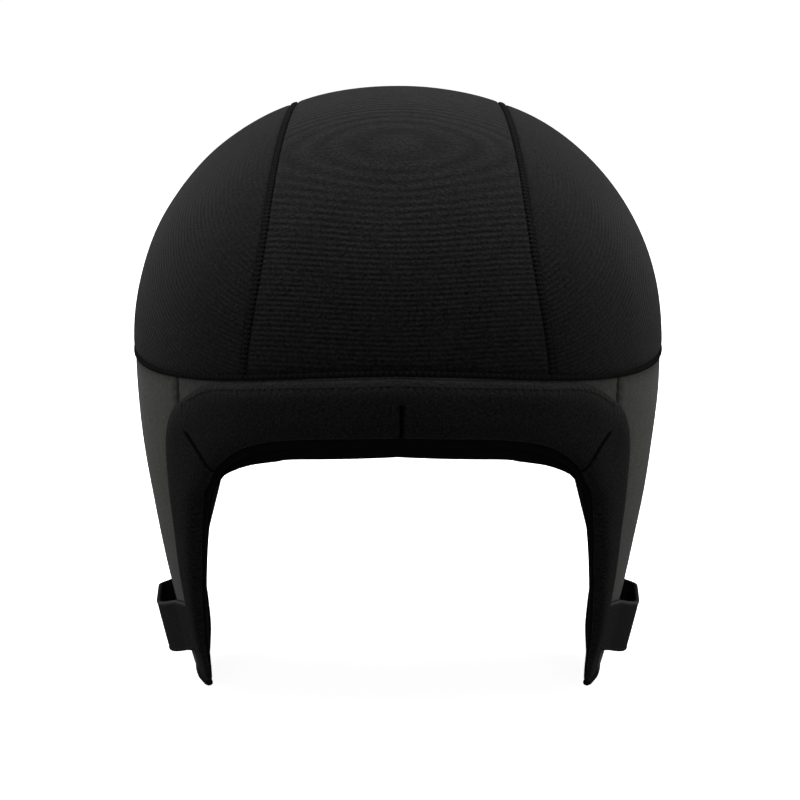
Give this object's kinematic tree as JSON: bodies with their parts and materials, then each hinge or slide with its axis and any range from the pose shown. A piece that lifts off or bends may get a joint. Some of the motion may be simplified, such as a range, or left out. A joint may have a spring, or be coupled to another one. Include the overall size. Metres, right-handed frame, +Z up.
{
  "type": "water sports helmet",
  "caption": "Soft helmet for water sports: foam-cored fabric shell with a ribbed crown, padded face trim, ear flaps that flex outward and a webbing strap loop on each flap.",
  "frame": {"origin": "middle of the flat underside of the crown pad, where the helmet rests on the top of the head", "axes": "+Z up; the face opening looks along -Y; +X is the wearer's left, and the helmet is mirror-symmetric across X = 0"},
  "size_m": [0.201, 0.2449, 0.2222],
  "materials": {
    "crown_fabric": "matte, fine ribbed stretch knit",
    "shell_neoprene": "matte, smooth neoprene with a faint nap",
    "front_fabric": "matte, smooth neoprene",
    "trim_knit": "matte, grainy knit over padding",
    "edge_binding": "matte, smooth stretch binding",
    "seam_thread": "matte, raised flatlock seam",
    "foam": "matte, closed-cell foam",
    "lining": "matte, brushed tricot",
    "pad_fabric": "matte, brushed padding",
    "webbing": "matte, woven webbing",
    "tack_thread": "matte, dense stitching"
  },
  "bodies": {
    "shell": {"crown_centre_panel": "crown_fabric", "crown_side_panel_left": "crown_fabric", "crown_side_panel_right": "crown_fabric", "nape_panel": "shell_neoprene", "side_panel_left": "shell_neoprene", "side_panel_right": "shell_neoprene", "brow_panel": "front_fabric", "side_front_panel_left": "front_fabric", "side_front_panel_right": "front_fabric", "brow_trim_left": "trim_knit", "brow_trim_right": "trim_knit", "cheek_trim_left": "trim_knit", "cheek_trim_right": "trim_knit", "face_lip": "edge_binding", "nape_hem": "edge_binding", "waist_seam": "seam_thread", "crown_seam_left": "seam_thread", "crown_seam_right": "seam_thread", "rear_seam_left": "seam_thread", "rear_seam_right": "seam_thread", "foam_crown_centre": "foam", "foam_crown_left": "foam", "foam_crown_right": "foam", "foam_brow": "foam", "foam_nape": "foam", "foam_side_left": "foam", "foam_side_right": "foam", "lining_crown_centre": "lining", "lining_crown_left": "lining", "lining_crown_right": "lining", "lining_band": "lining", "crown_pad": "pad_fabric", "nape_pad": "pad_fabric", "side_pad_left": "pad_fabric", "side_pad_right": "pad_fabric"},
    "flap_left": {"flap_panel_left": "shell_neoprene", "foam_flap_left": "foam", "lining_flap_left": "lining", "flap_trim_left": "trim_knit", "flap_lip_left": "edge_binding", "flap_hem_left": "edge_binding", "strap_loop_left": "webbing", "loop_tack_left": "tack_thread"},
    "flap_right": {"flap_panel_right": "shell_neoprene", "foam_flap_right": "foam", "lining_flap_right": "lining", "flap_trim_right": "trim_knit", "flap_lip_right": "edge_binding", "flap_hem_right": "edge_binding", "strap_loop_right": "webbing", "loop_tack_right": "tack_thread"}
  },
  "joints": [
    {"name": "flap_left_flex", "type": "hinge", "parent": "shell", "child": "flap_left", "pos_m": [0.0945, 0, -0.1264], "axis": [0, -0.9899, 0.1415], "range_deg": [-2, 16], "stiffness_Nm_per_rad": 1.2},
    {"name": "flap_right_flex", "type": "hinge", "parent": "shell", "child": "flap_right", "pos_m": [-0.0945, 0, -0.1264], "axis": [0, 0.9899, -0.1415], "range_deg": [-2, 16], "stiffness_Nm_per_rad": 1.2}
  ]
}
